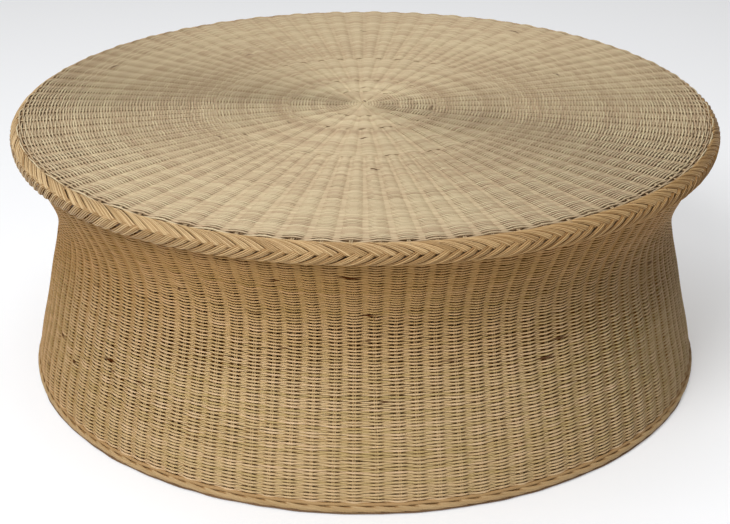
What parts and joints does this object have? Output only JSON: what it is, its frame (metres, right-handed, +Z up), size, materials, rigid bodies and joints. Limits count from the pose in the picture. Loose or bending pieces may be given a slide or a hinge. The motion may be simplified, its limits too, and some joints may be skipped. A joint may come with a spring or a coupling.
{
  "type": "round wicker coffee table",
  "caption": "Low round drum table in woven cane: flat disc top, plaited rim, waisted side wall down to a foot border, over a plywood disc, hoops, bent legs and bearers.",
  "frame": {"origin": "centre of the drum at floor level", "axes": "+Z up along the drum's axis; +X and +Y along the two crossed bearers"},
  "size_m": [0.9986, 0.9986, 0.3725],
  "materials": {
    "straw_top": "pale straw-coloured round core cane, close woven, satin",
    "straw_side": "golden tan round core cane, close woven over paired stakes, satin",
    "straw_rim": "straw-coloured round core cane, plaited, satin",
    "straw_foot": "browner round core cane, twisted border, satin",
    "rattan_pole": "peeled rattan pole with nodes, satin",
    "plywood": "bare plywood, unfinished",
    "beech_dowel": "turned hardwood dowel, bare",
    "zinc_screw": "zinc-plated steel"
  },
  "bodies": {
    "root": {"top_weave": "straw_top", "rim_plait": "straw_rim", "side_weave": "straw_side", "foot_border": "straw_foot", "top_board": "plywood", "rim_hoop": "rattan_pole", "waist_hoop": "rattan_pole", "foot_hoop": "rattan_pole", "leg_1": "rattan_pole", "leg_2": "rattan_pole", "leg_3": "rattan_pole", "leg_4": "rattan_pole", "leg_5": "rattan_pole", "leg_6": "rattan_pole", "leg_7": "rattan_pole", "leg_8": "rattan_pole", "bearer_1": "rattan_pole", "bearer_2": "rattan_pole", "brace_arc_1": "rattan_pole", "brace_arc_2": "rattan_pole", "brace_arc_3": "rattan_pole", "brace_arc_4": "rattan_pole", "dowel_1": "beech_dowel", "dowel_2": "beech_dowel", "dowel_3": "beech_dowel", "dowel_4": "beech_dowel", "screw_foot_1": "zinc_screw", "screw_foot_2": "zinc_screw", "screw_foot_3": "zinc_screw", "screw_foot_4": "zinc_screw", "screw_foot_5": "zinc_screw", "screw_foot_6": "zinc_screw", "screw_foot_7": "zinc_screw", "screw_foot_8": "zinc_screw", "screw_waist_1": "zinc_screw", "screw_waist_2": "zinc_screw", "screw_waist_3": "zinc_screw", "screw_waist_4": "zinc_screw", "screw_waist_5": "zinc_screw", "screw_waist_6": "zinc_screw", "screw_waist_7": "zinc_screw", "screw_waist_8": "zinc_screw", "screw_rim_1": "zinc_screw", "screw_rim_2": "zinc_screw", "screw_rim_3": "zinc_screw", "screw_rim_4": "zinc_screw", "screw_rim_5": "zinc_screw", "screw_rim_6": "zinc_screw", "screw_rim_7": "zinc_screw", "screw_rim_8": "zinc_screw"}
  },
  "joints": []
}
